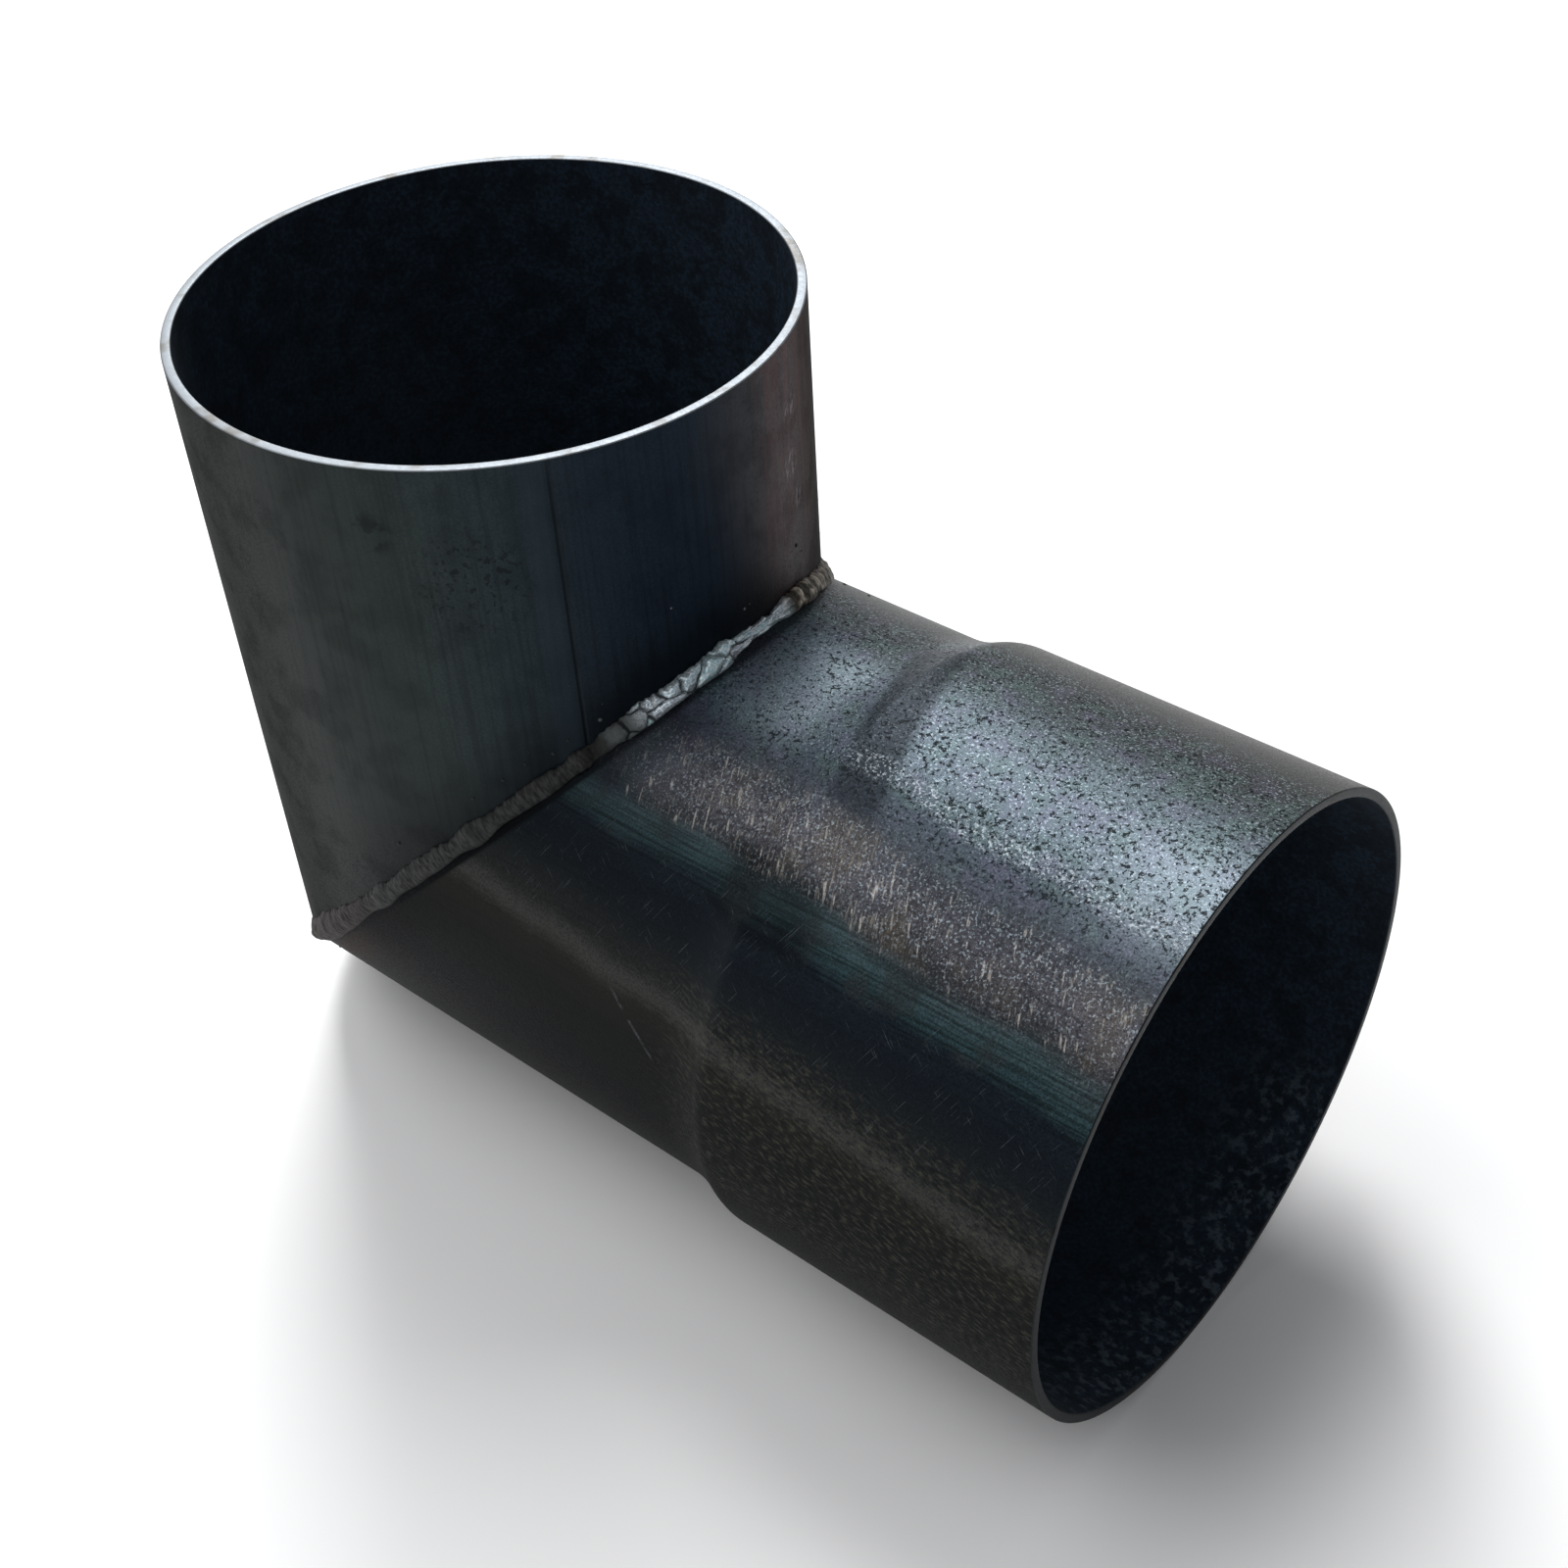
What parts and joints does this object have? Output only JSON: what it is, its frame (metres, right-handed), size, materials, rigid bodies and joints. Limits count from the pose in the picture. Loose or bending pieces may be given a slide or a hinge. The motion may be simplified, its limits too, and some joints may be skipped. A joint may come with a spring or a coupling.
{
  "type": "flue pipe elbow",
  "caption": "Mitred and welded 90 degree elbow of thin black steel flue tube, with a plain spigot on one leg and a swaged socket on the other.",
  "frame": {"origin": "middle of the socket's mouth, on the socket leg's centre line", "axes": "+X out of the socket's mouth; +Z out of the spigot, parallel to the upright leg's centre line; +Y completes the right-handed set, square to the plane that holds both centre lines"},
  "size_m": [0.2977, 0.1636, 0.2278],
  "materials": {
    "mill_scale_steel": "raw hot-rolled tube with blue-black mill scale, bare bright metal on the cut rims",
    "weld_metal": "rippled weld bead as laid, grey to silver"
  },
  "bodies": {
    "root": {"spigot_leg": "mill_scale_steel", "socket_leg": "mill_scale_steel", "mitre_weld": "weld_metal"}
  },
  "joints": []
}
